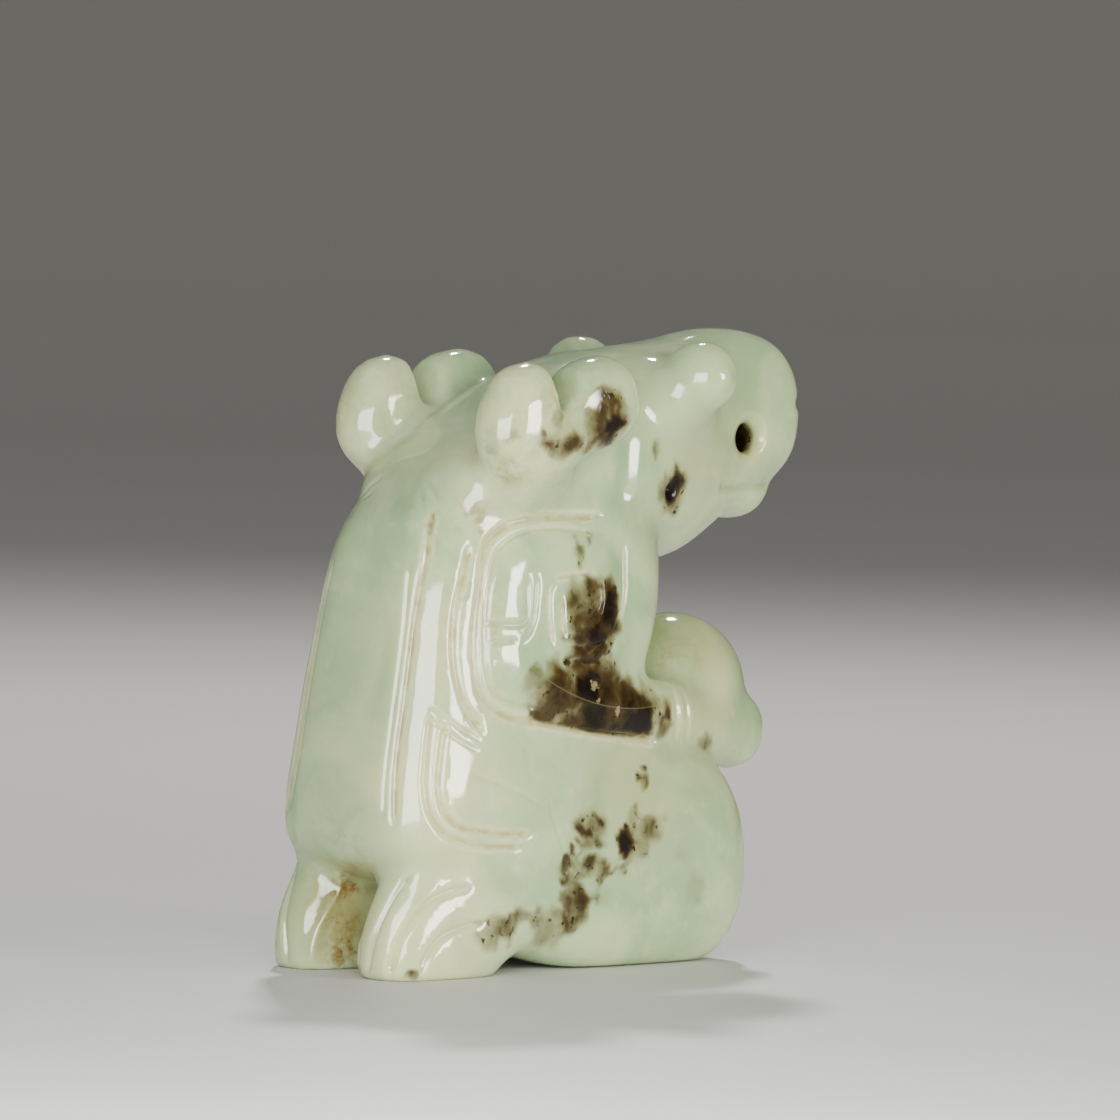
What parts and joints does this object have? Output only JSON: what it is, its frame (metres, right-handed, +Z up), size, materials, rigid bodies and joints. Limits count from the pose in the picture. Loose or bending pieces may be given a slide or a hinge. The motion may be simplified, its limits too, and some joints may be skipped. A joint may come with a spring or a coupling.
{
  "type": "kneeling jade figure with an animal head",
  "caption": "Small carved jade of a figure kneeling on its heels, with an animal head, upright bean-shaped ears, a drilled snout and a ball held in its hands.",
  "frame": {"origin": "middle of the bounding box's underside, on the ground between the soles and the shins", "axes": "-Y the way the figure faces, +X its left, +Z up from the soles to the ears"},
  "size_m": [0.0286, 0.0616, 0.0649],
  "materials": {
    "jade": "polished"
  },
  "bodies": {
    "root": {"figure": "jade"}
  },
  "joints": []
}
